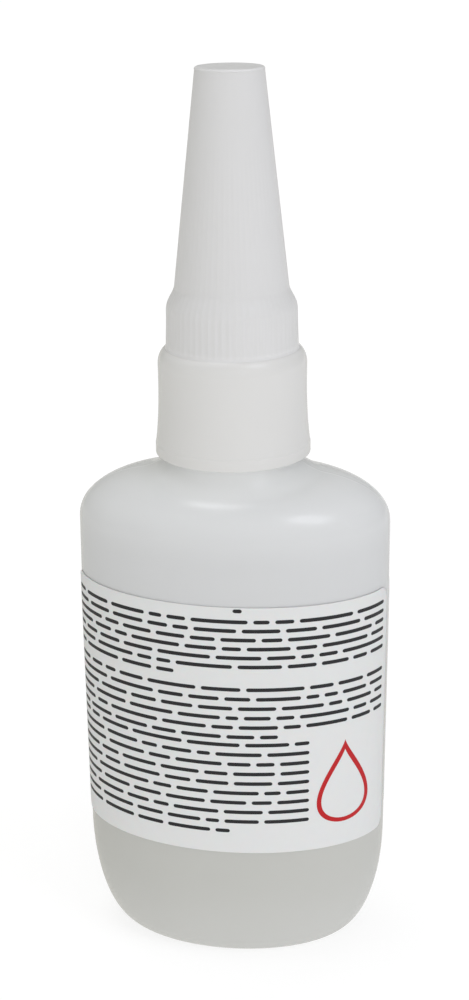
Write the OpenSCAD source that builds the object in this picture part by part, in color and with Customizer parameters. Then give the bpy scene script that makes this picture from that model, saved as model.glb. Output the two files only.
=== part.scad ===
// Super glue bottle: an oval squeeze bottle with a dropper nozzle snapped on its neck
// and a tall screw cap over the spout. Millimetres, +Z up, standing on z = 0.
// The width lies along X and the depth along Y. The axis of neck, nozzle and cap is Z.

/* [Bottle] */
// Width of the oval body
body_w = 43; // [38:0.5:52]
// Depth of the oval body, front to back
body_d = 28.5; // [25:0.5:36]
// Height where the straight wall ends and the shoulder begins
shoulder_z = 61.5; // [50:0.5:75]
// Height of the rounded shoulder
shoulder_rise = 6.8; // [5:0.2:10]
// Width of the flat crown that carries the neck
crown_w = 18; // [16:0.5:22]
// Height over which the base rounds in
base_round_h = 17; // [10:0.5:20]
// How far the base draws in on each side of the width
base_round_in = 6.2; // [3:0.2:8]
// Thickness of the blown wall
wall = 1.0; // [0.7:0.05:1.4]
// Width of the lowest part of the base, before it is trimmed
rim_w = 0.8; // [0.4:0.1:3]
// Depth by which the base is trimmed flat, as the rim that the bottle stands on
rim_trim = 0.1; // [0.05:0.01:0.3]
// Height of the pushed-up middle of the base
push_up = 1.0; // [0.4:0.1:2]

/* [Neck] */
// Outside diameter of the neck
neck_d = 16.8; // [15:0.2:18.4]
// Wall of the neck
neck_wall = 1.5; // [1:0.1:2]
// Height of the neck above the crown
neck_h = 15.3; // [12:0.1:18]
// Angle of the shoulder's arc where the sweep into the neck leaves it at the sides
side_leave = 74; // [60:1:80]
// Angle of the shoulder's arc where the sweep leaves it in front and behind
front_leave = 48; // [40:1:60]
// How far the sweep's ends are sunk into the walls that it joins
sweep_sink = 0.3; // [0.2:0.05:0.5]
// How far the snap bead stands out from the neck
bead_out = 0.45; // [0.2:0.05:0.6]
// Height of the snap bead above the crown
bead_z = 6.2; // [5:0.1:8]
// Height of the bead's lower, steep flank
bead_low = 0.8; // [0.5:0.1:1.2]
// Height of the bead's upper, sloping flank
bead_high = 1.8; // [1:0.1:2.5]

/* [Nozzle] */
// Gap between the collar's lower edge and the crown
collar_gap = 2.5; // [1:0.1:4]
// Wall of the collar at its waist
collar_wall = 1.4; // [1:0.1:2]
// How far the collar's lip stands out beyond the waist
lip_out = 0.55; // [0.2:0.05:1]
// Height of the collar's lip
lip_h = 1.7; // [1:0.1:3]
// Bevel on the lip's lower edge
lip_bevel = 0.2; // [0.1:0.05:0.4]
// How much the lip draws in towards its top
lip_draft = 0.05; // [0:0.01:0.15]
// How far the collar's top edge stands out beyond the waist
crest_out = 0.08; // [0:0.02:0.3]
// Height of the sloping step from the collar up to the cap's rim
seat_step_h = 1.4; // [0.8:0.1:2]
// Height of the collar's upright top edge
crest_h = 0.9; // [0.4:0.1:1.6]
// Thickness of the plate that closes the collar over the neck
plate_t = 1.7; // [1.2:0.1:3]
// Clearance between collar and neck
snap_gap = 0.12; // [0.05:0.01:0.2]
// Length of the plug inside the neck
plug_len = 6; // [3:0.5:9]
// Clearance between plug and neck
plug_gap = 0.1; // [0.05:0.01:0.2]
// Wall of the plug
plug_wall = 1.1; // [0.8:0.1:1.6]
// Diameter of the boss that carries the thread
boss_d = 11.8; // [10.6:0.2:13]
// Height of the boss above the cap's seat
boss_h = 7.2; // [6:0.1:9]
// Height of the spout above the boss
spout_h = 26.2; // [18:0.2:34]
// Diameter of the spout where it leaves the boss
spout_low_d = 10; // [8:0.2:10.6]
// Diameter of the spout's tip
spout_tip_d = 3.8; // [3:0.1:4.6]
// Wall of the boss and of the spout's foot
spout_wall = 1.1; // [0.8:0.1:1.4]
// Diameter of the hole in the tip
orifice_d = 1.4; // [1.2:0.1:2]
// Length of the straight hole in the tip
orifice_len = 4.5; // [2:0.5:8]

/* [Thread] */
// Rise of the thread in one turn
thread_lead = 3; // [2.5:0.1:4]
// Depth of the ridge on the nozzle
thread_depth = 0.8; // [0.5:0.05:1]
// Width of a ridge at its foot
ridge_foot = 1.6; // [1:0.1:1.8]
// Width of a ridge at its crest
ridge_crest = 0.7; // [0.3:0.1:1]
// Clearance between the nozzle's ridge and the cap's bore
thread_gap = 0.45; // [0.3:0.05:0.6]
// Clearance between the cap's ridge and the nozzle's boss
root_gap = 0.35; // [0.2:0.05:0.5]
// Turns of the ridge on the nozzle
nozzle_turns = 1.5; // [1:0.1:1.7]
// Turns of the ridge in the cap
cap_turns = 1.1; // [0.8:0.1:1.3]

/* [Cap] */
// Wall of the band outside the thread
band_wall = 1.6; // [1.2:0.1:2.2]
// Height of the ribbed band
band_h = 5.4; // [4.6:0.1:7]
// How much the band widens towards its rim
band_taper = 0.1; // [0:0.05:0.3]
// Height of the step from the band to the cone
step_h = 2; // [1.2:0.1:3]
// Clearance between the boss and the cone's foot
boss_gap = 0.5; // [0.3:0.05:1]
// Diameter of the cone at the top
cone_top_d = 9.2; // [8.6:0.2:11]
// Wall of the cone
cone_wall = 1.3; // [1:0.1:1.6]
// Rounding of the top edge
cap_round = 0.6; // [0.3:0.1:1]
// Thickness of the cap's top above the pin's socket
cap_top_t = 0.75; // [0.5:0.05:2]
// Gap between the cap's rim and its seat
rim_gap = 0.2; // [0.1:0.05:0.4]
// Number of grip ribs
rib_count = 60; // [36:4:80]
// Height of a grip rib
rib_h = 0.15; // [0.08:0.01:0.25]

/* [Seal pin] */
// Diameter of the flange over the tip
flange_d = 4.8; // [4:0.1:5.4]
// Thickness of the flange
flange_t = 1.2; // [0.8:0.1:2]
// Gap between flange and tip
seal_gap = 0.3; // [0.1:0.05:0.5]
// Clearance of the stem in the hole
stem_gap = 0.2; // [0.1:0.05:0.3]
// Length of the stem below the flange
stem_len = 4; // [2:0.5:6]
// Length of the stem's pointed end
stem_point = 0.8; // [0.4:0.1:1.5]
// Diameter of the stub that turns in the cap
stub_d = 2; // [1.6:0.1:3]
// Height of the stub
stub_h = 0.8; // [0.5:0.1:1.2]
// Clearance of the stub and flange in the cap
pin_gap = 0.15; // [0.1:0.05:0.3]

/* [Labels] */
// Height of the labels' lower edge above the base rounding
label_low = 0.3; // [0:0.1:4]
// Distance of the labels' upper edge below the shoulder
label_drop = 8; // [2:0.5:16]
// Distance of the labels' side edges from the middle of the bottle's side
label_side = 2; // [0.5:0.1:6]
// Radius of the labels' corners
label_corner = 2; // [1:0.1:4]
// Thickness of a label
label_t = 0.15; // [0.1:0.01:0.3]
// Thickness of the glue line behind a label
label_gap = 0.04; // [0.02:0.01:0.1]

/* [Adhesive] */
// Depth of the liquid's level below the shoulder
fill_drop = 2; // [0:0.5:30]
// Clearance between the liquid and the wall
fill_gap = 0.1; // [0.05:0.01:0.2]

/* [Hidden] */
$fn = 180;
// Pieces that are cut away reach this far past the surface they cut
cut = 1;
arc_steps = 10;
flare_steps = 8;
// Steps of a screw ridge in one turn, and those over which it fades out at an end
ridge_steps = 36;
fade_steps = 4;
// How far a ridge's foot is sunk into the wall that carries it
ridge_sink = 0.3;
// How sharply the collar's waist flares into its lip
flare_power = 2.7;
// Reach of the sweep's ends along their tangents, as shares of its span
sweep_shares = [0.3, 0.12];
// Where a grip rib's crest and its valley begin and end, as shares of the pitch
rib_shares = [0, 0.2, 0.5, 0.7];

half_w = body_w / 2;
half_d = body_d / 2;
crown_r = crown_w / 2;
crown_z = shoulder_z + shoulder_rise;

neck_r = neck_d / 2;
bore_r = neck_r - neck_wall;
neck_top = crown_z + neck_h;
bead_mid = crown_z + bead_z;

collar_z = crown_z + collar_gap;
collar_bore = neck_r + snap_gap;
waist_r = collar_bore + collar_wall;
seat_z = neck_top + plate_t;
crest_top = seat_z - seat_step_h;
crest_low = crest_top - crest_h;
plug_r = bore_r - plug_gap;
boss_r = boss_d / 2;
boss_top = seat_z + boss_h;
tip_z = boss_top + spout_h;
channel_r = spout_low_d / 2 - spout_wall;

cap_bore = boss_r + thread_depth + thread_gap;
cap_crest = boss_r + root_gap;
rim_z = seat_z + rim_gap;
band_top = rim_z + band_h;
band_r = cap_bore + band_wall;
band_low_r = band_r + band_taper;
rib_r = band_low_r + rib_h;
cone_z = band_top + step_h;
cone_in = boss_r + boss_gap;
flange_z = tip_z + seal_gap;
ceiling_z = flange_z + flange_t + pin_gap;
socket_z = ceiling_z + stub_h + pin_gap;
cap_top = socket_z + cap_top_t;

// The cap's ridge runs half a lead above the nozzle's
nozzle_thread_z = seat_z + ridge_foot / 2 + (boss_h - ridge_foot - nozzle_turns * thread_lead) / 2;
cap_thread_z = nozzle_thread_z + thread_lead / 2;
cap_thread_mid = rim_z + (band_h + step_h / 2) / 2;
cap_start = (cap_thread_mid - cap_thread_z) / thread_lead - cap_turns / 2;

label_z = base_round_h + label_low;
label_h = shoulder_z - label_drop - label_z;
fill_z = shoulder_z - fill_drop;

// Point of the shoulder's arc at an angle, and the arc's direction there, drawn in by inset
function shoulder_point(inset, a) =
    [crown_r + (half_w - inset - crown_r) * cos(a), shoulder_z + (shoulder_rise - inset) * sin(a)];
function shoulder_heading(inset, a) =
    [-(half_w - inset - crown_r) * sin(a), (shoulder_rise - inset) * cos(a)];

// Cubic sweep from a point, in the direction of heading, to an end that it meets upright
function sweep(start, heading, end) =
    let (
        span = norm(end - start),
        low = start + heading / norm(heading) * span * sweep_shares[0],
        high = end - [0, span * sweep_shares[1]]
    )
    [for (i = [1:arc_steps])
        let (t = i / arc_steps)
        pow(1 - t, 3) * start + 3 * pow(1 - t, 2) * t * low + 3 * (1 - t) * t * t * high + pow(t, 3) * end];

// Half outline of the body, drawn in from the outside by inset, from the base's middle up into a tube
function body_outline(inset, tube_r) =
    let (
        r = half_w - inset,
        foot = r - base_round_in,
        rim_in = foot - rim_w,
        low = inset - rim_trim
    )
    concat(
        [for (i = [0:arc_steps - 1])
            let (u = i / arc_steps) [rim_in * u, low + (push_up + rim_trim) * (1 - u * u)]],
        [[rim_in, low]],
        [for (i = [0:arc_steps])
            let (a = 90 * i / arc_steps)
            [foot + base_round_in * sin(a), low + (base_round_h - low) * (1 - cos(a))]],
        [for (i = [0:arc_steps]) shoulder_point(inset, side_leave * i / arc_steps)],
        sweep(shoulder_point(inset, side_leave), shoulder_heading(inset, side_leave),
            [tube_r - sweep_sink, collar_z]),
        [[0, collar_z]]
    );

// Oval body, turned from its outline and pressed flat in depth
module oval_body(inset, tube_r)
    scale([1, (half_d - inset) / (half_w - inset), 1])
        rotate_extrude() polygon(body_outline(inset, tube_r));

// Round sweep from the shoulder's front and back into a tube, whose foot is sunk into the shoulder
module neck_sweep(inset, tube_r) {
    flat = (half_d - inset) / (half_w - inset);
    point = shoulder_point(inset, front_leave);
    heading = shoulder_heading(inset, front_leave);
    start = [point[0] * flat, point[1] - sweep_sink];
    end = [tube_r - sweep_sink, collar_z - sweep_sink];
    rotate_extrude() polygon(concat(
        [[0, start[1] - wall], [start[0], start[1] - wall], start],
        sweep(start, [heading[0] * flat, heading[1]], end),
        [[0, end[1]]]
    ));
}

// Upright oval cylinder that stands off from the body's wall
module oval_cylinder(offset_out, z, h)
    translate([0, 0, z])
        scale([1, (half_d + offset_out) / (half_w + offset_out), 1])
            cylinder(h = h, r = half_w + offset_out);

// Screw ridge from radius foot_r to radius crest_r. It starts at start turns and fades out at both ends
module ridge(foot_r, crest_r, z, start, turns) {
    count = ceil(turns * ridge_steps);
    inside = crest_r < foot_r;
    sunk_r = foot_r + (inside ? ridge_sink : -ridge_sink);
    points = [for (i = [0:count])
        let (
            t = start + turns * i / count,
            full = min(1, (i + 0.5) / fade_steps, (count - i + 0.5) / fade_steps),
            crest = sunk_r + (crest_r - sunk_r) * full,
            section = [
                [sunk_r, -ridge_foot / 2],
                [crest, -ridge_crest / 2],
                [crest, ridge_crest / 2],
                [sunk_r, ridge_foot / 2]
            ]
        )
        for (k = [0:3])
            let (p = section[inside ? 3 - k : k])
            [p[0] * cos(360 * t), p[0] * sin(360 * t), z + thread_lead * t + p[1]]];
    sides = [for (i = [0:count - 1], k = [0:3], half = [0, 1])
        let (
            a = 4 * i + k,
            b = 4 * i + (k + 1) % 4
        )
        half == 0 ? [a, b, b + 4] : [a, b + 4, a + 4]];
    ends = [[3, 2, 1], [3, 1, 0], [4 * count, 4 * count + 1, 4 * count + 2],
        [4 * count, 4 * count + 2, 4 * count + 3]];
    polyhedron(points = points, faces = concat(sides, ends));
}

// Blown shell with its neck, snap bead and pushed-up base
module bottle() color([0.85, 0.87, 0.88]) difference() {
    union() {
        oval_body(0, neck_r);
        neck_sweep(0, neck_r);
        translate([0, 0, shoulder_z]) cylinder(h = neck_top - shoulder_z, r = neck_r);
        rotate_extrude() polygon([
            [bore_r, bead_mid - bead_low], [neck_r, bead_mid - bead_low],
            [neck_r + bead_out, bead_mid], [neck_r, bead_mid + bead_high],
            [bore_r, bead_mid + bead_high]
        ]);
    }
    oval_body(wall, bore_r);
    neck_sweep(wall, bore_r);
    translate([0, 0, shoulder_z]) cylinder(h = neck_top - shoulder_z + cut, r = bore_r);
    translate([-half_w, -half_d, -cut]) cube([body_w, body_d, cut]);
}

// Liquid inside the shell, up to its level
module adhesive() color([0.88, 0.87, 0.80, 0.6]) intersection() {
    oval_body(wall + fill_gap, bore_r);
    translate([-half_w, -half_d, 0]) cube([body_w, body_d, fill_z]);
}

// Half outline of the collar's outside: lip, flared waist, upright top edge and step up to the seat
function collar_outline() = concat(
    [[waist_r + lip_out - lip_bevel, collar_z], [waist_r + lip_out, collar_z + lip_bevel]],
    [for (i = [0:flare_steps])
        let (u = i / flare_steps)
        [waist_r + (lip_out - lip_draft) * pow(1 - u, flare_power) + crest_out * u * u,
            collar_z + lip_h + u * (crest_low - collar_z - lip_h)]],
    [[waist_r + crest_out, crest_top - crest_h / 3], [waist_r, crest_top],
        [rib_r, seat_z]]
);

// Collar, plug, boss and spout in one moulding, with the channel through them
module nozzle() color([0.86, 0.86, 0.85]) {
    rotate_extrude() polygon(concat(
        collar_outline(),
        [[boss_r, seat_z], [boss_r, boss_top], [spout_low_d / 2, boss_top],
            [spout_tip_d / 2, tip_z], [orifice_d / 2, tip_z],
            [orifice_d / 2, tip_z - orifice_len], [channel_r, boss_top],
            [plug_r - plug_wall, neck_top], [plug_r - plug_wall, neck_top - plug_len],
            [plug_r, neck_top - plug_len], [plug_r, neck_top], [collar_bore, neck_top],
            [collar_bore, bead_mid + bead_high + snap_gap],
            [collar_bore + bead_out, bead_mid + snap_gap], [collar_bore + bead_out, bead_mid - snap_gap],
            [collar_bore, bead_mid - bead_low - snap_gap], [collar_bore, collar_z]]
    ));
    ridge(boss_r, boss_r + thread_depth, nozzle_thread_z, 0, nozzle_turns);
}

// Grip ribs round the band, with their feet sunk into it
module ribs() {
    pitch = 360 / rib_count;
    proud_r = rib_r + rib_h;
    sunk_r = band_r - rib_h;
    ring_r = band_r - band_wall / 2;
    intersection() {
        translate([0, 0, rim_z]) linear_extrude(band_h) polygon([
            for (i = [0:rib_count - 1], k = [0:3])
                let (
                    a = pitch * (i + rib_shares[k]),
                    r = k < 2 ? proud_r : sunk_r
                )
                [r * cos(a), r * sin(a)]]);
        rotate_extrude() polygon([[ring_r, rim_z], [rib_r, rim_z],
            [band_r + rib_h, band_top - 4 * rib_h], [sunk_r, band_top - 2 * rib_h],
            [ring_r, band_top - 2 * rib_h]]);
    }
}

// Over-cap: ribbed band with the thread inside, step, cone and top with the pin's socket
module cap() color([0.87, 0.87, 0.87]) {
    top_r = cone_top_d / 2;
    rotate_extrude() polygon(concat(
        [[cap_bore, rim_z], [band_low_r, rim_z], [band_r, band_top], [cone_in + cone_wall, cone_z]],
        [for (i = [0:arc_steps])
            let (a = 90 * i / arc_steps)
            [top_r - cap_round * (1 - cos(a)), cap_top - cap_round * (1 - sin(a))]],
        [[0, cap_top], [0, socket_z], [stub_d / 2 + pin_gap, socket_z],
            [stub_d / 2 + pin_gap, ceiling_z], [top_r - cone_wall, ceiling_z],
            [cone_in, cone_z], [cap_bore, band_top]]
    ));
    ribs();
    ridge(cap_bore, cap_crest, cap_thread_z, cap_start, cap_turns);
}

// Pin that closes the tip: stub in the cap, flange over the tip and stem in the hole
module seal_pin() color([0.75, 0.76, 0.78])
    rotate_extrude() polygon([
        [0, flange_z - stem_len], [orifice_d / 2 - stem_gap - stem_point / 4, flange_z - stem_len],
        [orifice_d / 2 - stem_gap, flange_z - stem_len + stem_point], [orifice_d / 2 - stem_gap, flange_z],
        [flange_d / 2, flange_z], [flange_d / 2, flange_z + flange_t],
        [stub_d / 2, flange_z + flange_t], [stub_d / 2, ceiling_z + stub_h], [0, ceiling_z + stub_h]
    ]);

// Upright sheet in the plane of Y and Z, with round corners at its lower Y edge
module label_window(w, h, r)
    rotate([90, 0, 90]) linear_extrude(2 * body_w, center = true) {
        translate([r, 0]) square([w - r, h]);
        translate([0, r]) square([w, h - 2 * r]);
        for (y = [r, h - r])
            translate([r, y]) circle(r);
    }

// Half sleeve of label stock on the +Y face of the body
module half_label() intersection() {
    difference() {
        oval_cylinder(label_gap + label_t, label_z, label_h);
        oval_cylinder(label_gap, label_z - cut, label_h + 2 * cut);
    }
    translate([0, label_side, label_z]) label_window(body_d, label_h, label_corner);
}

module front_label() color([0.92, 0.92, 0.91]) half_label();

module back_label() color([0.92, 0.92, 0.91]) mirror([0, 1, 0]) half_label();

bottle();
adhesive();
nozzle();
cap();
seal_pin();
back_label();
front_label();
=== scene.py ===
# Super glue bottle, 122 mm tall: a blown oval bottle with its liquid and two labels, a dropper
# nozzle snapped on the neck, and a tall screw cap with the pin that seals the tip.
# Lengths are in millimetres until a surface goes into its mesh, but the floor is in metres. The bottle
# stands on z = 0.
import math

import bpy
import numpy as np
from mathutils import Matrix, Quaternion, Vector


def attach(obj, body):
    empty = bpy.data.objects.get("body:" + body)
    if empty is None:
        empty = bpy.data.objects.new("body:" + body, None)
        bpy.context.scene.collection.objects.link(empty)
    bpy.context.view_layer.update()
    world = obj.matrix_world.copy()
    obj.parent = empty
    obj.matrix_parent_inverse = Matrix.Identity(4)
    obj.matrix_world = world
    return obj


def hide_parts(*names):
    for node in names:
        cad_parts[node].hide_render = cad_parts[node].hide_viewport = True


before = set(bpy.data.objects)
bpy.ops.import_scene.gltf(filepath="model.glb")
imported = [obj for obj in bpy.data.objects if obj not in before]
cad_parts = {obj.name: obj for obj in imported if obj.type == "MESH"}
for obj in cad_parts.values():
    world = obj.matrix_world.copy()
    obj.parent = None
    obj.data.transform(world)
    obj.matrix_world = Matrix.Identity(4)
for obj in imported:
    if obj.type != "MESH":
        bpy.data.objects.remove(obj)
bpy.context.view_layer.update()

# Bottle: an oval shell blown from natural polyethylene about 1 mm thick, neck and all. The halves of
# the mould leave a fine line up both narrow sides and a pinched seam across the underside.
mm = 0.001
half_width = 21.42
half_depth = 14.25
wall = 1.0
base_draw = 6.0
base_rise = 16.0
draft = 0.35
draft_top = 50.0
rim_width = 0.8
rim_trim = 0.1
push_up = 1.0
hollow_rows = 16
shoulder_foot = 61.5
shoulder_rise = 6.93
crown = 9.0
side_leave = 74
front_leave = 48
front_leave_inside = 52
sweep_start = 0.3
sweep_end = 0.12
neck = 8.4
neck_bore = 6.9
neck_foot = 70.65
neck_top = 83.6
bead = np.array([[0.0, 73.7], [0.45, 74.5], [0.0, 76.3]])
neck_edge = np.array([[0.0, -0.3], [-0.1, -0.09], [-0.3, 0.0]])
mould_line = 0.03
mould_line_spread = 0.17
pinch_height = 0.25
pinch_spread = 0.3
pinch_reach = 11.0
unevenness = 0.014


def skin(name, grid, closed_round=True, closed_rows=False, tips=True):
    """Put a grid of points, (rows, columns, 3) in millimetres, into a mesh object at the origin. Each
    four neighbours share a quad. Columns join up again where closed_round, rows where closed_rows.
    With tips, the first and the last row are single points, and a fan of triangles closes each."""
    rows, columns = grid.shape[:2]
    if tips:
        points = np.concatenate([grid[0, :1], grid[1:-1].reshape(-1, 3), grid[-1, :1]])
        index = np.arange((rows - 2) * columns).reshape(rows - 2, columns) + 1
    else:
        points = grid.reshape(-1, 3)
        index = np.arange(rows * columns).reshape(rows, columns)
    body = index
    if closed_rows:
        body = np.concatenate([body, body[:1]])
    if closed_round:
        body = np.concatenate([body, body[:, :1]], 1)
    corners = [body[:-1, :-1], body[:-1, 1:], body[1:, 1:], body[1:, :-1]]
    faces = np.stack(corners, -1).reshape(-1, 4).tolist()
    if tips:
        first, last = index[0], index[-1]
        under = np.stack([np.zeros_like(first), np.roll(first, -1), first], 1)
        over = np.stack([last, np.roll(last, -1), np.full_like(last, len(points) - 1)], 1)
        faces += under.tolist() + over.tolist()
    mesh = bpy.data.meshes.new(name)
    mesh.from_pydata((points * mm).tolist(), [], faces)
    mesh.shade_smooth()
    mesh.set_sharp_from_angle(angle=math.radians(38))
    piece = bpy.data.objects.new(name, mesh)
    bpy.context.scene.collection.objects.link(piece)
    return piece


def facing(grid):
    """Unit normals of a grid that closes round: its step round crossed with its step along the rows."""
    step_round = np.roll(grid, -1, 1) - np.roll(grid, 1, 1)
    normal = np.cross(step_round, np.gradient(grid, axis=0))
    return normal / np.maximum(np.linalg.norm(normal, axis=2, keepdims=True), 1e-9)


def ease(start, end, value):
    """Smooth step from 0 at start to 1 at end: 3t^2 - 2t^3, level at both ends."""
    t = np.clip((value - start) / (end - start), 0, 1)
    return t * t * (3 - 2 * t)


def drawn_in(height):
    """How far the wide side of the body leans in: nothing from draft_top up, and below it evenly more,
    to all of draft where the base's round corner begins."""
    return draft * np.clip((draft_top - height) / (draft_top - base_rise), 0, 1)


def body_side(half, inset, leave, tube):
    """Half outline of the shell in one upright plane as rows of distance and height: a pushed-up
    parabola, the lowest rim, a quarter ellipse, the wall, a second ellipse up to the angle
    leave, and from there a cubic sweep that ends upright on the neck's tube."""
    reach = half_width - inset
    foot = reach - draft - base_draw
    low = inset - rim_trim
    share = np.linspace(0, 1, hollow_rows)
    hollow = np.stack([(foot - rim_width) * share, low + (push_up + rim_trim) * (1 - share**2)], 1)
    angle = np.radians(np.linspace(0, 90, 26))
    corner = np.stack([foot + base_draw * np.sin(angle), low + (base_rise - low) * (1 - np.cos(angle))], 1)
    height = np.linspace(base_rise, shoulder_foot, 26)[1:-1]
    upright = np.stack([reach - drawn_in(height), height], 1)
    angle = np.radians(np.linspace(0, leave, 26))
    dome = np.stack([crown + (reach - crown) * np.cos(angle),
                     shoulder_foot + (shoulder_rise - inset) * np.sin(angle)], 1)
    outline = np.concatenate([hollow, corner, upright, dome])
    outline[:, 0] *= (half - inset) / reach
    start = outline[-1]
    end = np.array([tube, neck_foot])
    span = np.linalg.norm(end - start)
    heading = (start - outline[-2]) / np.linalg.norm(start - outline[-2])
    t = np.linspace(0, 1, 16)[1:, None]
    sweep = ((1 - t)**3 * start + 3 * (1 - t)**2 * t * (start + heading * span * sweep_start)
             + 3 * (1 - t) * t**2 * (end - [0, span * sweep_end]) + t**3 * end)
    return np.concatenate([outline, sweep])


def shell_rings(wide, deep, around):
    """Oval rings between two upright outlines: half width and half depth turn as an ellipse, and the
    height swings from the wide outline's to the deep one's with the square of the cosine."""
    cos, sin = np.cos(around), np.sin(around)
    return np.stack([wide[:, :1] * cos, deep[:, :1] * sin,
                     wide[:, 1:] * cos**2 + deep[:, 1:] * sin**2], -1)


near_line = np.radians([0.5, 1, 1.5, 2, 3])
around = np.concatenate([np.linspace(0, 2 * np.pi, 160, endpoint=False), near_line, np.pi - near_line,
                         np.pi + near_line, 2 * np.pi - near_line])
around = np.unique(np.round(around, 6))
outside = [body_side(half_width, 0, side_leave, neck), body_side(half_depth, 0, front_leave, neck)]
inside = [body_side(half_width, wall, side_leave, neck_bore),
          body_side(half_depth, wall, front_leave_inside, neck_bore)]
finish_ring = np.concatenate([bead + [neck, 0], neck_edge + [neck, neck_top],
                              neck_edge[::-1] * [-1, 1] + [neck_bore, neck_top]])
wide, deep = [np.concatenate([out, finish_ring, back[::-1]]) for out, back in zip(outside, inside)]
shell = shell_rings(wide, deep, around)
outer_rows = len(outside[0])
outer = shell[:outer_rows]
x, y, z = outer[..., 0], outer[..., 1], outer[..., 2]
# The mould's line and the unevenness fade out towards the base and before the neck.
line = mould_line * np.exp(-(y / mould_line_spread)**2) * ease(1, 4, z) * ease(9, 10, np.abs(x))
slow = (np.sin(3 * around + z / 9) + 0.7 * np.sin(5 * around - z / 6.1)
        + 0.5 * np.sin(2 * around - z / 4.3))
push = line + unevenness * slow * ease(2, 9, z) * ease(9, 12, np.hypot(x, y))
outer += facing(outer) * push[..., None]
scar_fade = 1 - ease(pinch_reach - 2, pinch_reach, np.abs(x))
scar = pinch_height * np.exp(-(y / pinch_spread)**2) * scar_fade
scar[hollow_rows:] = 0
outer[..., 2] = np.maximum(outer[..., 2] - scar, 0)
bottle = skin("bottle_shell", shell)


def add(tree, kind, inputs=None, **settings):
    """Add a shader node, give it its settings, and set or link each input that is named."""
    made = tree.nodes.new(kind)
    for key, value in settings.items():
        setattr(made, key, value)
    for key, value in (inputs or {}).items():
        if isinstance(value, bpy.types.NodeSocket):
            tree.links.new(value, made.inputs[key])
        else:
            made.inputs[key].default_value = value
    return made


def finish_for(piece, name, values):
    """A new material on a piece, with constants set on its Principled shader's own sockets."""
    material = bpy.data.materials.new(name)
    material.use_nodes = True
    shader = material.node_tree.nodes["Principled BSDF"]
    for key, value in values.items():
        shader.inputs[key].default_value = value
    piece.data.materials.append(material)
    return material.node_tree, shader


def mix_colour(tree, share, first, second):
    """The output of a colour mix: first where share is 0, second where it is 1."""
    return add(tree, "ShaderNodeMix", {0: share, 6: first, 7: second}, data_type="RGBA").outputs[2]


def group_of(name, inputs, outputs):
    """An empty shader node group with the named sockets, and its input and output nodes."""
    tree = bpy.data.node_groups.new(name, "ShaderNodeTree")
    for direction, sockets in (("INPUT", inputs), ("OUTPUT", outputs)):
        for label, kind in sockets.items():
            tree.interface.new_socket(label, in_out=direction, socket_type="NodeSocket" + kind)
    return tree, tree.nodes.new("NodeGroupInput"), tree.nodes.new("NodeGroupOutput")


# The skin of moulded polyolefin: slow clouds of tone, a fine grain from the mould, and faint upright
# flow lines that change the gloss a little.
moulded, given, result = group_of(
    "moulded_skin",
    {"Point": "Vector", "Light tone": "Color", "Dark tone": "Color", "Gloss": "Float", "Dull": "Float"},
    {"Color": "Color", "Roughness": "Float", "Height": "Float"})
cloud = add(moulded, "ShaderNodeTexNoise", {"Vector": given.outputs["Point"], "Scale": 75.0, "Detail": 3.0})
grain = add(moulded, "ShaderNodeTexNoise", {"Vector": given.outputs["Point"], "Scale": 1500.0, "Detail": 2.0})
drawn = add(moulded, "ShaderNodeMapping", {"Vector": given.outputs["Point"], "Scale": (1, 1, 0.06)})
flow = add(moulded, "ShaderNodeTexNoise", {"Vector": drawn.outputs[0], "Scale": 420.0, "Detail": 2.0})
tone = mix_colour(moulded, cloud.outputs[0], given.outputs["Light tone"], given.outputs["Dark tone"])
mixed = add(moulded, "ShaderNodeMix", {0: 0.5, 2: grain.outputs[0], 3: flow.outputs[0]})
spread = add(moulded, "ShaderNodeMapRange", {0: mixed.outputs[0], 1: 0.35, 2: 0.65,
                                             3: given.outputs["Gloss"], 4: given.outputs["Dull"]})
moulded.links.new(tone, result.inputs["Color"])
moulded.links.new(spread.outputs[0], result.inputs["Roughness"])
moulded.links.new(mixed.outputs[0], result.inputs["Height"])


def moulded_finish(tree, shader, light, dark, gloss, dull, relief):
    """Place the moulded skin in a material and lead its roughness and relief to the shader. Its colour
    and the place on the object are given back."""
    place = add(tree, "ShaderNodeTexCoord").outputs["Object"]
    surface = add(tree, "ShaderNodeGroup", {"Point": place, "Light tone": light, "Dark tone": dark,
                                            "Gloss": gloss, "Dull": dull}, node_tree=moulded)
    tree.links.new(surface.outputs["Roughness"], shader.inputs["Roughness"])
    bump = add(tree, "ShaderNodeBump", {"Strength": relief, "Distance": 0.0001,
                                        "Height": surface.outputs["Height"]})
    tree.links.new(bump.outputs[0], shader.inputs["Normal"])
    return surface.outputs["Color"], place


tree, shader = finish_for(bottle, "natural_polyethylene", {
    "IOR": 1.52, "Subsurface Weight": 0.35, "Subsurface Radius": (1.0, 1.0, 0.95), "Subsurface Scale": 0.001})
colour, place = moulded_finish(tree, shader, light=(0.776, 0.784, 0.793, 1), dark=(0.746, 0.754, 0.763, 1),
                               gloss=0.16, dull=0.22, relief=0.12)
# Painted light and shade by height. The filled part is painted greyer, standing in for the liquid behind
# the wall that takes light from it. The base and the part towards the neck are painted lighter, standing in
# for light that comes through the translucent wall, and near the neck they lift the shade under the collar.
# Each height has the share of the light that is left.
ramp_top = 70.0
painted_light_at = {0: (0.70, 0.695, 0.665, 1), 15: (0.645, 0.64, 0.603, 1), 36: (0.645, 0.64, 0.603, 1),
            54: (0.768, 0.768, 0.768, 1), 58: (0.773, 0.773, 0.773, 1), 66: (0.86, 0.86, 0.857, 1),
            68.5: (0.897, 0.897, 0.885, 1), 69.9: (0.93, 0.93, 0.913, 1)}
level = add(tree, "ShaderNodeSeparateXYZ", {0: place})
height = add(tree, "ShaderNodeMapRange", {0: level.outputs[2], 1: 0.0, 2: ramp_top * mm})
painted_light = add(tree, "ShaderNodeValToRGB", {0: height.outputs[0]})
painted_light.color_ramp.interpolation = "EASE"
for stop, share in painted_light_at.items():
    painted_light.color_ramp.elements.new(stop / ramp_top).color = share
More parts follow.
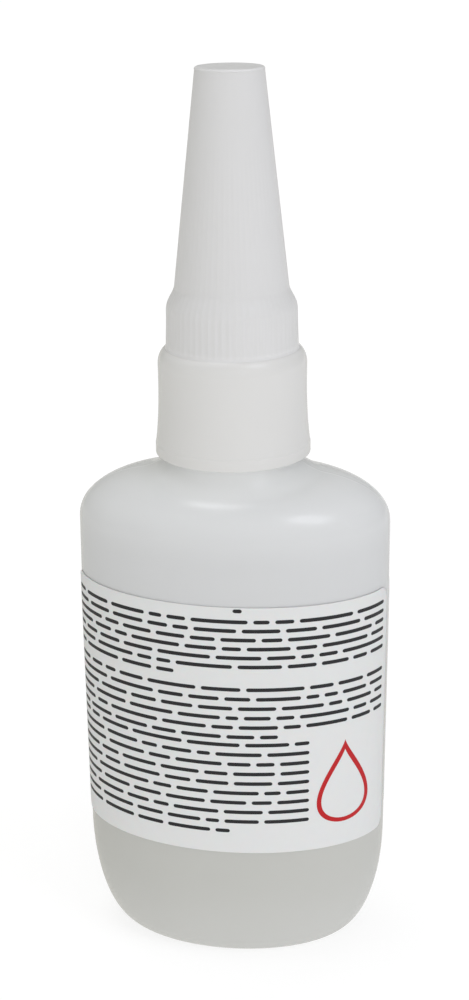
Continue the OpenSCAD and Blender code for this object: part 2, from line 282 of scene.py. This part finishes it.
# The two stops that a new ramp comes with are dropped.
painted_light.color_ramp.elements.remove(painted_light.color_ramp.elements[0])
painted_light.color_ramp.elements.remove(painted_light.color_ramp.elements[-1])
shaded = add(tree, "ShaderNodeMix", {0: 1.0, 6: colour, 7: painted_light.outputs[0]},
             data_type="RGBA", blend_type="MULTIPLY")
tree.links.new(shaded.outputs[2], shader.inputs["Base Color"])
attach(bottle, "bottle")
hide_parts("bottle")

# Adhesive: a thin, clear liquid that fills the shell to just below the shoulder. It wets the wall, so
# its surface climbs there.
liquid_gap = 0.1
liquid_top = 59.5
climb = 0.45
climb_spread = 1.3


def liquid_side(half):
    """Half outline of the liquid in one upright plane: the shell's inside drawn in by a hair as far as
    the level, then the surface, which sinks from the wall by a decaying exponential."""
    side = body_side(half, wall + liquid_gap, side_leave, neck_bore)
    side = side[side[:, 1] < liquid_top]
    reach = side[-1, 0]
    inwards = np.linspace(0, 1, 24)**2 * reach
    sunk = liquid_top - climb * (1 - np.exp(-inwards / climb_spread))
    return np.concatenate([side, np.stack([reach - inwards, sunk], 1)])


glue = skin("adhesive_liquid", shell_rings(liquid_side(half_width), liquid_side(half_depth),
                                           np.linspace(0, 2 * np.pi, 120, endpoint=False)))
tree, shader = finish_for(glue, "clear_adhesive", {"IOR": 1.45, "Transmission Weight": 0.9})
place = add(tree, "ShaderNodeTexCoord")
swirl = add(tree, "ShaderNodeTexNoise", {"Vector": place.outputs["Object"], "Scale": 60.0, "Detail": 2.0})
tree.links.new(mix_colour(tree, swirl.outputs[0], (0.93, 0.92, 0.84, 1), (0.88, 0.87, 0.79, 1)),
               shader.inputs["Base Color"])
haze = add(tree, "ShaderNodeMapRange", {0: swirl.outputs[0], 3: 0.03, 4: 0.08})
tree.links.new(haze.outputs[0], shader.inputs["Roughness"])
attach(glue, "bottle")
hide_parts("adhesive")

# Labels: two sheets of white coated paper glued round the back and the front of the body, with a bare
# strip between them along each narrow side. Corners are round, and the back one sits a little askew.
label_low = 17.3
label_high = 53.5
label_edge = 2.0
label_corner = 2.0
paper_gap = 0.04
paper = 0.13
askew = {-1: -math.tan(math.radians(0.7)), 1: 0.0}
swing = np.radians(np.linspace(-90, 90, 1441))
steps = np.hypot(np.diff(half_width * np.sin(swing)), np.diff(half_depth * np.cos(swing)))
girth = np.concatenate([[0], np.cumsum(steps)]) - steps.sum() / 2
label_end = np.interp(np.arccos(label_edge / half_depth), swing, girth)


def on_wall(along, height, stand_off, side):
    """Point on the oval wall. along runs round the girth from the middle of a face to the right as one
    looks at it, stand_off outwards from the bare wall, and side is -1 for the back, 1 for the front."""
    angle = np.interp(along, girth, swing)
    height = np.broadcast_to(height, np.shape(along)) + askew[side] * along
    lean = 1 - drawn_in(height) / half_width
    return np.stack([-side * (half_width * lean + stand_off) * np.sin(angle),
                     side * (half_depth * lean + stand_off) * np.cos(angle), height], -1)


def label_sheet(name, side):
    """A label as a grid on the wall: rows up it, columns round it. Within a corner radius of the upper
    and lower edge the row is shorter by what the corner's circle takes away."""
    bend = label_corner * (1 - np.cos(np.radians(np.linspace(0, 90, 10))))
    between = np.linspace(label_low + label_corner, label_high - label_corner, 12)[1:-1]
    rows = np.concatenate([label_low + bend, between, label_high - bend[::-1]])
    inside_corner = label_corner - np.minimum(np.minimum(rows - label_low, label_high - rows), label_corner)
    half = label_end - label_corner + np.sqrt(np.maximum(label_corner**2 - inside_corner**2, 0))
    along = half[:, None] * np.linspace(-1, 1, 121)
    sheet = skin(name, on_wall(along, rows[:, None], paper_gap, side), closed_round=False, tips=False)
    body = sheet.modifiers.new("paper", "SOLIDIFY")
    body.thickness = paper * mm
    body.offset = 1.0
    return sheet


# White coated paper: faint fibres in tone and height under a thin, even coat.
fibred, given, result = group_of(
    "paper_fibre", {"Point": "Vector", "First tone": "Color", "Second tone": "Color"},
    {"Color": "Color", "Roughness": "Float", "Height": "Float"})
fibre = add(fibred, "ShaderNodeTexNoise", {"Vector": given.outputs["Point"], "Scale": 900.0, "Detail": 5.0})
patch = add(fibred, "ShaderNodeTexNoise", {"Vector": given.outputs["Point"], "Scale": 55.0, "Detail": 2.0})
both = add(fibred, "ShaderNodeMix", {0: 0.5, 2: fibre.outputs[0], 3: patch.outputs[0]})
tone = mix_colour(fibred, both.outputs[0], given.outputs["First tone"], given.outputs["Second tone"])
fibred.links.new(tone, result.inputs["Color"])
rough = add(fibred, "ShaderNodeMapRange", {0: fibre.outputs[0], 1: 0.3, 2: 0.7, 3: 0.42, 4: 0.56})
fibred.links.new(rough.outputs[0], result.inputs["Roughness"])
fibred.links.new(fibre.outputs[0], result.inputs["Height"])


def fibred_finish(tree, shader, first, second):
    """Place the paper's fibres in a material and lead their colour and roughness to the shader. Their
    height is given back."""
    place = add(tree, "ShaderNodeTexCoord").outputs["Object"]
    surface = add(tree, "ShaderNodeGroup", {"Point": place, "First tone": first, "Second tone": second},
                  node_tree=fibred)
    tree.links.new(surface.outputs["Color"], shader.inputs["Base Color"])
    tree.links.new(surface.outputs["Roughness"], shader.inputs["Roughness"])
    return surface.outputs["Height"]


labels = {-1: label_sheet("label_back", -1), 1: label_sheet("label_front", 1)}
for side, node in ((-1, "back_label"), (1, "front_label")):
    tree, shader = finish_for(labels[side], "label_paper", {"IOR": 1.48, "Subsurface Weight": 0.1,
                                                            "Subsurface Scale": 0.0005})
    relief = fibred_finish(tree, shader, (0.685, 0.685, 0.685, 1), (0.655, 0.655, 0.655, 1))
    bump = add(tree, "ShaderNodeBump", {"Strength": 0.1, "Distance": 0.00005, "Height": relief})
    tree.links.new(bump.outputs[0], shader.inputs["Normal"])
    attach(labels[side], "bottle")
    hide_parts(node)

# Print: blocks of plain dark rules, set in runs like lines of small type, and the red outline of a drop.
# The ink is a film a few hundredths of a millimetre thick on the paper.
ink_foot = 0.15
ink_face = 0.182
rule_height = 0.53
drop_point = 1.6
drop_sink = 0.06
rule_gap = 0.75
shortest_run = 1.3
longest_run = 6.2
chance = np.random.default_rng(11)


def rule_blocks(tops, pitches, counts, lefts, rights, runs):
    """Rules for several blocks as rows of (left, right, level). Each line holds runs of chance length,
    spaced so that they fill it from left to right, and a block's last line stops short."""
    made = []
    for top, pitch, count, left, right, many in zip(tops, pitches, counts, lefts, rights, runs):
        length = chance.uniform(shortest_run, longest_run, (count, many))
        length *= (right - left - (many - 1) * rule_gap) / length.sum(1, keepdims=True)
        ends = left + np.cumsum(length + rule_gap, 1) - rule_gap
        level = np.repeat(top - pitch * np.arange(count)[:, None], many, 1)
        block = np.stack([ends - length, ends, level], -1)
        made += [block[:-1].reshape(-1, 3), block[-1, :chance.integers(2, many - 1)]]
    return np.concatenate(made)


def ink_slabs(name, along, low, high, side, joined=False):
    """Thin slabs of ink on a label. Each row of along, low and high is one mark, swept from its first
    column to its last. The section is a flat box from inside the paper to the ink's face; the ends are
    closed, or joined to each other where the mark is a ring."""
    marks, columns = along.shape
    edges = [(low, ink_face), (high, ink_face), (high, ink_foot), (low, ink_foot)]
    points = np.stack([on_wall(along, height, out, side) for height, out in edges], 2).reshape(-1, 3)
    index = np.arange(marks * columns * 4).reshape(marks, columns, 4)
    run = np.concatenate([index, index[:, :1]], 1) if joined else index
    turn = np.roll(run, -1, 2)
    sides = np.stack([run[:, :-1], run[:, 1:], turn[:, 1:], turn[:, :-1]], -1).reshape(-1, 4)
    faces = sides.tolist()
    if not joined:
        faces += index[:, 0].tolist() + index[:, -1, ::-1].tolist()
    mesh = bpy.data.meshes.new(name)
    mesh.from_pydata((points * mm).tolist(), [], faces)
    piece = bpy.data.objects.new(name, mesh)
    bpy.context.scene.collection.objects.link(piece)
    return piece


def rules(name, table, side):
    """Rules with round ends: a run's half height is level, and falls as a circle over its last part."""
    share = np.concatenate([[0, 0.01, 0.03], np.linspace(0.07, 0.93, 9), [0.97, 0.99, 1]])
    left, right, level = table.T[:, :, None]
    along = left + (right - left) * share
    half = rule_height / 2
    past = np.clip((np.abs(along - (left + right) / 2) - (right - left) / 2 + half) / half, 0, 0.94)
    tall = half * np.sqrt(1 - past**2)
    return ink_slabs(name, along, level - tall, level + tall, side)


def drop(name, middle, level, height, line, side):
    """Outline of a drop as a ring of ink: a circle whose upper half is drawn out to a point by a power
    of the half angle's sine. The ring lies between that curve and a smaller one, set a little lower."""
    angle = np.linspace(0, 2 * np.pi, 72, endpoint=False)
    across = np.sin(angle) * np.abs(np.sin(angle / 2))**drop_point
    up = np.cos(angle)
    inner = 1 - 2 * line / height
    outer_edge = np.stack([across, up], -1) * height / 2
    inner_edge = np.stack([across * inner, up * inner - drop_sink], -1) * height / 2
    edges = [(outer_edge, ink_face), (inner_edge, ink_face), (inner_edge, ink_foot), (outer_edge, ink_foot)]
    ring = np.stack([on_wall(middle + edge[:, 0], level + edge[:, 1], out, side)
                     for edge, out in edges], 1)
    return skin(name, ring[::-1], closed_rows=True, tips=False)


line_end = label_end - 1.4
cutting_mark = [[1.9, 3.1, 53.05]]
back_blocks = rule_blocks(tops=[51.5, 41.75, 33.6], pitches=[1.29, 1.39, 1.44], counts=[7, 6, 10],
                          lefts=[-line_end] * 3, rights=[line_end, line_end, 12.2], runs=[10, 10, 7])
front_block = rule_blocks(tops=[27.6], pitches=[1.4], counts=[6], lefts=[-16.0], rights=[16.0], runs=[6])
back_rules = rules("print_back", np.concatenate([back_blocks, cutting_mark]), -1)
front_rules = rules("print_front", front_block, 1)
back_drop = drop("drop_back", middle=17.6, level=27.0, height=12.4, line=1.0, side=-1)
front_drop = drop("drop_front", middle=0.0, level=40.5, height=17.0, line=1.3, side=1)
inks = {"dark_ink": ((back_rules, front_rules), (0.012, 0.012, 0.014, 1), (0.025, 0.025, 0.027, 1)),
        "red_ink": ((back_drop, front_drop), (0.43, 0.006, 0.01, 1), (0.47, 0.012, 0.016, 1))}
for name, (marks, full, thin) in inks.items():
    for mark in marks:
        tree, shader = finish_for(mark, name, {"IOR": 1.35})
        fibred_finish(tree, shader, full, thin)
        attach(mark, "bottle")

# Nozzle: collar, plug, threaded boss and spout in one moulding of natural polyethylene. The collar's
# groove snaps over the bead on the neck, and the liquid runs through the middle to the tip.
snap_gap = 0.12
collar_low = 70.8
collar_bore = neck + snap_gap
waist = 9.93
lip_out = 0.57
lip_round = 0.25
lip_top = 72.4
lip_soft = 0.12
lip_step = 0.08
flare_power = 2.7
crest_low = 83.2
crest_out = 0.09
crest = 8.0
crest_rise = 2.46
crest_end = 60
seat = 85.2
boss = 5.9
boss_top = 92.5
boss_round = 0.3
spout_round = 0.25
spout_foot = 5.0
spout_tip = 1.9
tip = 118.7
hole = 0.7
hole_length = 4.5
channel = 3.9
plug = 6.8
plug_bore = 5.7
plug_low = 77.6
plug_top = neck_top - 0.02
nozzle_thread_at = 86.65
nozzle_turns = 1.5
lead = 3.0
ridge_foot = 1.6
ridge_crest = 0.7
ridge_depth = 0.8


def turned(outline, columns):
    """Rings of a turned shape: every row of (radius, height) carried once round the axis."""
    around = np.linspace(0, 2 * np.pi, columns, endpoint=False)
    return np.stack([outline[:, :1] * np.cos(around), outline[:, :1] * np.sin(around),
                     np.repeat(outline[:, 1:], columns, 1)], -1)


def arc(middle, size, start, end, count):
    """Part of an ellipse as rows of (radius, height), from one angle to another in degrees."""
    angle = np.radians(np.linspace(start, end, count))
    return np.stack([middle[0] + size[0] * np.cos(angle), middle[1] + size[1] * np.sin(angle)], 1)


def screw_ridge(rings, level, start, turns):
    """How much of a screw ridge, from 0 to 1, stands at each point of a turned surface. Its middle line
    climbs one lead a turn from the angle start; it falls off along sloping flanks and at both ends."""
    share = np.arctan2(rings[..., 1], rings[..., 0]) / (2 * np.pi)
    run = (share - start) % 1.0 + np.arange(3)[:, None, None]
    off = np.abs(rings[..., 2] - level - lead * (start + run))
    flank = np.clip((ridge_foot / 2 - off) / (ridge_foot / 2 - ridge_crest / 2), 0, 1)
    ends = np.clip(np.minimum(run, turns - run) * 9, 0, 1)
    return (flank * ends).max(0)


def painted_light_towards(tree, colour, place, start, end, lift):
    """Painted light: a colour that grows lighter by the share lift from one height to another, both in mm."""
    level = add(tree, "ShaderNodeSeparateXYZ", {0: place})
    share = add(tree, "ShaderNodeMapRange", {0: level.outputs[2], 1: start * mm, 2: end * mm, 3: 1.0,
                                             4: 1.0 + lift}, interpolation_type="SMOOTHSTEP")
    paler = add(tree, "ShaderNodeMix", {0: 1.0, 6: colour, 7: share.outputs[0]},
                data_type="RGBA", blend_type="MULTIPLY")
    return paler.outputs[2]


lip = waist + lip_out
crest_width = waist + crest_out - crest
seat_edge = crest + crest_width * math.cos(math.radians(crest_end))
u = np.linspace(0, 1, 40)
flare = np.stack([waist + (lip_out - lip_step) * (1 - u)**flare_power + crest_out * u**2,
                  lip_top + lip_soft + u * (crest_low - lip_top - lip_soft)], 1)
boss_rows = np.stack([np.full(60, boss), np.linspace(seat + boss_round, boss_top - boss_round, 60)], 1)
groove = [[collar_bore, bead[2, 1] + snap_gap], [collar_bore + bead[1, 0], bead[1, 1] + snap_gap],
          [collar_bore + bead[1, 0], bead[1, 1] - snap_gap], [collar_bore, bead[0, 1] - snap_gap]]
nozzle_outline = np.concatenate([
    [[collar_bore + lip_round, collar_low]],
    arc((lip - lip_round, collar_low + lip_round), (lip_round, lip_round), -90, 0, 7),
    [[lip - 0.01, collar_low + 0.9]],
    arc((lip - 0.06, lip_top - lip_soft), (0.045, lip_soft), 0, 80, 5),
    flare,
    arc((crest, crest_low), (crest_width, crest_rise), 2, crest_end, 24),
    [[seat_edge - 0.002, seat], [boss + boss_round, seat]],
    arc((boss + boss_round, seat + boss_round), (boss_round, boss_round), 260, 190, 5),
    boss_rows,
    arc((boss - boss_round, boss_top - boss_round), (boss_round, boss_round), 10, 90, 5),
    arc((spout_foot + spout_round, boss_top + spout_round), (spout_round, spout_round), 270, 185, 6),
    np.linspace([spout_foot - 0.04, boss_top + 0.6], [spout_tip + 0.02, tip - 0.4], 16),
    arc((spout_tip - spout_round, tip - spout_round), (spout_round, spout_round), 5, 90, 6),
    [[hole + 0.15, tip], [hole, tip - 0.15], [hole, tip - hole_length], [channel, boss_top]],
    [[plug_bore, neck_top], [plug_bore, plug_low + 0.1], [plug_bore + 0.1, plug_low]],
    [[plug - 0.25, plug_low], [plug, plug_low + 0.4], [plug, plug_top], [collar_bore, plug_top]],
    groove,
    [[collar_bore, collar_low + lip_round]]])
rings = turned(nozzle_outline, 168)
on_boss = (np.abs(nozzle_outline[:, 0] - boss) < 1e-6) & (nozzle_outline[:, 1] < boss_top)
out = screw_ridge(rings, nozzle_thread_at, 0.0, nozzle_turns) * on_boss[:, None] * ridge_depth
axis_out = rings[..., :2] / np.maximum(np.hypot(rings[..., 0], rings[..., 1])[..., None], 1e-9)
rings[..., :2] += axis_out * out[..., None]
nozzle = skin("nozzle_moulding", rings, closed_rows=True, tips=False)
tree, shader = finish_for(nozzle, "nozzle_polyethylene", {
    "IOR": 1.51, "Subsurface Weight": 0.3, "Subsurface Radius": (1.0, 0.98, 0.92), "Subsurface Scale": 0.001})
colour, place = moulded_finish(tree, shader, light=(0.66, 0.656, 0.648, 1), dark=(0.638, 0.634, 0.626, 1),
                               gloss=0.2, dull=0.26, relief=0.1)
# Painted light: collar and cap are painted a little paler towards their joint, standing in for light that
# wanders through the milky plastic and lifting the shade in the corner between them.
colour = painted_light_towards(tree, colour, place, start=seat - 0.6, end=seat + 0.1, lift=0.07)
tree.links.new(colour, shader.inputs["Base Color"])
# The thin moulding is translucent: most of a lamp's light goes on through it to the foot of the neck.
ray = add(tree, "ShaderNodeLightPath")
passing = add(tree, "ShaderNodeBsdfTransparent", {"Color": (0.92, 0.92, 0.92, 1)})
lit = add(tree, "ShaderNodeMixShader", {0: ray.outputs["Is Shadow Ray"], 1: shader.outputs[0],
                                        2: passing.outputs[0]})
tree.links.new(lit.outputs[0], tree.nodes["Material Output"].inputs["Surface"])
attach(nozzle, "bottle")
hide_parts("nozzle")

# Sealing pin: a turned steel pin whose stub sits in the cap's top and whose stem keeps the hole in the
# tip open. Its flange lies just over the tip.
stem = 0.5
stem_low = 115.0
stem_point = 0.8
flange = 2.4
flange_low = 119.0
flange_top = 120.2
stub = 1.0
stub_top = 121.15
pin_round = 0.15
pin_outline = np.concatenate([
    [[0, stem_low], [0.26, stem_low], [0.32, stem_low + 0.06], [stem, stem_low + stem_point]],
    [[stem, flange_low - 0.1], [stem + 0.1, flange_low], [flange - pin_round, flange_low]],
    arc((flange - pin_round, flange_low + pin_round), (pin_round, pin_round), -70, 0, 4),
    arc((flange - pin_round, flange_top - pin_round), (pin_round, pin_round), 0, 90, 5),
    [[stub + 0.05, flange_top], [stub, flange_top + 0.05], [stub, stub_top - pin_round]],
    [[stub - pin_round, stub_top], [0, stub_top]]])
pin = skin("seal_pin_turned", turned(pin_outline, 64))
tree, shader = finish_for(pin, "turned_steel", {"Metallic": 1.0})
place = add(tree, "ShaderNodeTexCoord")
lathe = add(tree, "ShaderNodeTexWave", {"Vector": place.outputs["Object"], "Scale": 1600.0, "Distortion": 1.5,
                                        "Detail": 2.0}, bands_direction="Z")
tree.links.new(mix_colour(tree, lathe.outputs[1], (0.66, 0.67, 0.69, 1), (0.56, 0.57, 0.59, 1)),
               shader.inputs["Base Color"])
polish = add(tree, "ShaderNodeMapRange", {0: lathe.outputs[1], 3: 0.2, 4: 0.34})
tree.links.new(polish.outputs[0], shader.inputs["Roughness"])
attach(pin, "seal_pin")
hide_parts("seal_pin")

# Cap: a tall cone of natural polypropylene with a ribbed band at its foot and the thread inside. It
# screws down over the spout; the ribs run on up the cone and fade.
rim = 85.22
seam = 85.33
rim_edge = 0.02
foot_flare = 0.14
foot_rise = 0.45
band_top = 90.6
cone_foot = 93.6
band_radius = 8.72
band_flare = 0.14
cone_low = 7.54
cone_low_at = 94.3
cone_slope = 0.1094
cap_top = 122.05
cap_edge = 0.35
top_radius = 4.6
room_top = 3.4
room_top_at = 119.4
room_low = 6.36
room_low_at = 93.2
bore_top = 90.8
cap_bore = 7.15
cap_ridge = 6.25
cap_thread_at = 88.15
cap_thread_start = -0.3667
cap_turns = 1.1
pin_room = 0.15
socket = stub + pin_room
socket_top = stub_top + pin_room
ceiling = flange_top + pin_room
rib_count = 60
rib_height = 0.042
rib_fade = 104
rib_end = 114


def cap_radius(height):
    """Outside radius of the cap without ribs: a band that widens to its rim, where a short foot spreads
    on to the collar, and a straight cone above, joined by a smooth step."""
    down = np.clip((band_top - height) / (band_top - seam), 0, 1)
    foot = np.clip(1 - (height - seam) / foot_rise, 0, 1)
    band = band_radius + band_flare * down**1.6 + foot_flare * foot**2
    cone = cone_low - cone_slope * (height - cone_low_at)
    return cone + (band - cone) * (1 - ease(band_top, cone_foot, height))


side_rows = np.concatenate([[rim + rim_edge], np.linspace(seam, seam + foot_rise, 9)[:-1],
                            np.linspace(seam + foot_rise, band_top, 15)[:-1],
                            np.linspace(band_top, cone_foot + 0.6, 26)[:-1],
                            np.linspace(cone_foot + 0.6, cap_top - cap_edge, 26)])
# The top has a shallow dish with the low mound of the gate in its middle.
dish = np.array([[3.65, 0], [3.5, -0.01], [3.3, -0.035], [3.1, -0.045], [0.7, -0.045], [0.55, -0.035],
                 [0.4, -0.02], [0, -0.015]])
cap_outline = np.concatenate([
    [[0, socket_top], [socket - 0.1, socket_top], [socket, socket_top - 0.1], [socket, ceiling + 0.1]],
    [[socket + 0.1, ceiling], [room_top - 0.3, ceiling], [room_top - 0.1, ceiling - 0.25]],
    np.linspace([room_top, room_top_at], [room_low, room_low_at], 6),
    [[room_low + 0.08, room_low_at - 0.4], [cap_bore - 0.04, bore_top + 0.2]],
    np.stack([np.full(40, cap_bore), np.linspace(bore_top, rim + 0.35, 40)], 1),
    [[cap_bore + 0.2, rim + 0.05], [cap_bore + 0.3, rim]],
    arc((cap_radius(rim) - rim_edge, rim + rim_edge), (rim_edge, rim_edge), -90, -10, 5),
    np.stack([cap_radius(side_rows), side_rows], 1),
    arc((top_radius - cap_edge, cap_top - cap_edge), (cap_edge, cap_edge), 8, 90, 9),
    dish + [0, cap_top]])
rings = turned(cap_outline, 480)
radius, height = np.hypot(rings[..., 0], rings[..., 1]), rings[..., 2]
around_cap = np.arctan2(rings[..., 1], rings[..., 0])
outside_rows = np.arange(len(cap_outline)) > np.argmin(cap_outline[:, 1])
tall = np.interp(height, [seam, seam + foot_rise, band_top, cone_foot, rib_fade, rib_end],
                 [0, 1, 1, 0.42, 0.2, 0])
crests = (0.5 + 0.5 * np.cos(rib_count * around_cap))**1.3
out = rib_height * crests * tall * outside_rows[:, None]
in_bore = np.abs(cap_outline[:, 0] - cap_bore) < 1e-6
inwards = screw_ridge(rings, cap_thread_at, cap_thread_start, cap_turns) * (cap_bore - cap_ridge)
out -= inwards * in_bore[:, None]
rings[..., :2] += rings[..., :2] / np.maximum(radius, 1e-9)[..., None] * out[..., None]
cap = skin("screw_cap", rings)
tree, shader = finish_for(cap, "cap_polypropylene", {
    "IOR": 1.5, "Subsurface Weight": 0.3, "Subsurface Radius": (1.0, 1.0, 0.97), "Subsurface Scale": 0.001})
colour, place = moulded_finish(tree, shader, light=(0.651, 0.648, 0.65, 1), dark=(0.626, 0.623, 0.625, 1),
                               gloss=0.32, dull=0.44, relief=0.1)
# Painted light: the cap's foot is painted paler towards its joint with the collar, lifting the shade in the
# crease.
colour = painted_light_towards(tree, colour, place, start=seam + 1.0, end=seam, lift=0.085)
tree.links.new(colour, shader.inputs["Base Color"])
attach(cap, "cap")
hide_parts("cap")

# Stage: a pale floor without an edge in view that glows like a light table, in a white surround that is
# a little dimmer and warmer to the left. Two small lamps, overhead and high to the right, give the
# highlights. Four wider ones, overhead, to the right, in front and behind, only fill.
floor_mesh = bpy.data.meshes.new("floor")
floor_side, floor_near, floor_far = 4, -4, 8
floor_mesh.from_pydata([(-floor_side, floor_near, 0), (floor_side, floor_near, 0), (floor_side, floor_far, 0),
                        (-floor_side, floor_far, 0)], [], [(0, 1, 2, 3)])
floor = bpy.data.objects.new("floor", floor_mesh)
bpy.context.scene.collection.objects.link(floor)
tree, shader = finish_for(floor, "pale_floor", {"Roughness": 0.7, "IOR": 1.3, "Emission Color": (1, 1, 1, 1),
                                                "Emission Strength": 0.73})
place = add(tree, "ShaderNodeTexCoord")
mottle = add(tree, "ShaderNodeTexNoise", {"Vector": place.outputs["Object"], "Scale": 3.0, "Detail": 2.0})
tree.links.new(mix_colour(tree, mottle.outputs[0], (0.31, 0.31, 0.31, 1), (0.29, 0.29, 0.29, 1)),
               shader.inputs["Base Color"])
# Reflections pass the floor and meet the surround's lower half, which is set for them alone.
floor.visible_glossy = False
world = bpy.data.worlds.new("surround")
bpy.context.scene.world = world
world.use_nodes = True
tree = world.node_tree
surround = tree.nodes["Background"]
place = add(tree, "ShaderNodeTexCoord")
across = add(tree, "ShaderNodeSeparateXYZ", {0: place.outputs["Generated"]})
rightward = add(tree, "ShaderNodeMapRange", {0: across.outputs[0], 1: -1.0, 2: 1.0})
upper = mix_colour(tree, rightward.outputs[0], (0.86, 0.85, 0.76, 1), (1.0, 1.0, 1.0, 1))
lower = mix_colour(tree, rightward.outputs[0], (1.55, 1.53, 1.38, 1), (1.88, 1.88, 1.88, 1))
sunk = add(tree, "ShaderNodeMapRange", {0: across.outputs[2], 1: 0.0, 2: -0.05})
around_it = mix_colour(tree, sunk.outputs[0], upper, lower)
ray = add(tree, "ShaderNodeLightPath")
seen = mix_colour(tree, ray.outputs["Is Camera Ray"], around_it, (2.4, 2.4, 2.4, 1))
tree.links.new(seen, surround.inputs["Color"])
surround.inputs["Strength"].default_value = 0.425
bpy.context.scene.view_settings.view_transform = "Standard"


def soft_lamp(name, bearing, climb, spread, strength, colour, glints):
    """A far, wide lamp at a bearing from -Y towards +X and an angle above the horizon, which looks as
    large as the angle spread. All three are in degrees. Without glints it is a mere fill."""
    lamp = bpy.data.lights.new(name, "SUN")
    lamp.angle = math.radians(spread)
    lamp.energy = strength
    lamp.color = colour
    holder = bpy.data.objects.new(name, lamp)
    bearing, climb = math.radians(bearing), math.radians(climb)
    away = Vector((math.sin(bearing) * math.cos(climb), -math.cos(bearing) * math.cos(climb),
                   math.sin(climb)))
    holder.rotation_euler = away.to_track_quat("Z", "Y").to_euler()
    holder.visible_glossy = glints
    bpy.context.scene.collection.objects.link(holder)


soft_lamp("overhead_lamp", -95, 80, 22, 0.34, (0.985, 0.995, 1.02), True)
soft_lamp("overhead_fill", -95, 80, 70, 0.54, (0.985, 0.995, 1.02), False)
soft_lamp("glint_lamp", 58, 51, 24, 0.36, (0.96, 0.983, 1.06), True)
soft_lamp("side_lamp", 55, 35, 80, 0.34, (0.96, 0.983, 1.06), False)
soft_lamp("front_lamp", 12, 22, 30, 0.885, (1.0, 1.0, 1.005), False)
soft_lamp("rear_lamp", 190, 30, 80, 0.4, (1.0, 1.0, 1.005), False)

# Camera: to the right of the back label's middle and a little above the cap, tipped down. Its place,
# angles and lens were fitted to the outlines of cap, collar, shoulder and body.
camera_bearing = math.radians(8.78)
camera_dip = math.radians(18.353)
camera_roll = math.radians(-0.556)
camera_at = Vector((39.1, -252.5, 148.42)) * mm
look = Vector((-math.sin(camera_bearing) * math.cos(camera_dip),
               math.cos(camera_bearing) * math.cos(camera_dip), -math.sin(camera_dip)))
lens = bpy.data.cameras.new("camera")
lens.lens = 70.73
lens.sensor_width = 36.0
lens.clip_start = 0.01
camera = bpy.data.objects.new("camera", lens)
camera.location = camera_at
camera.rotation_mode = "QUATERNION"
camera.rotation_quaternion = look.to_track_quat("-Z", "Y") @ Quaternion((0, 0, 1), camera_roll)
bpy.context.scene.collection.objects.link(camera)
bpy.context.scene.camera = camera
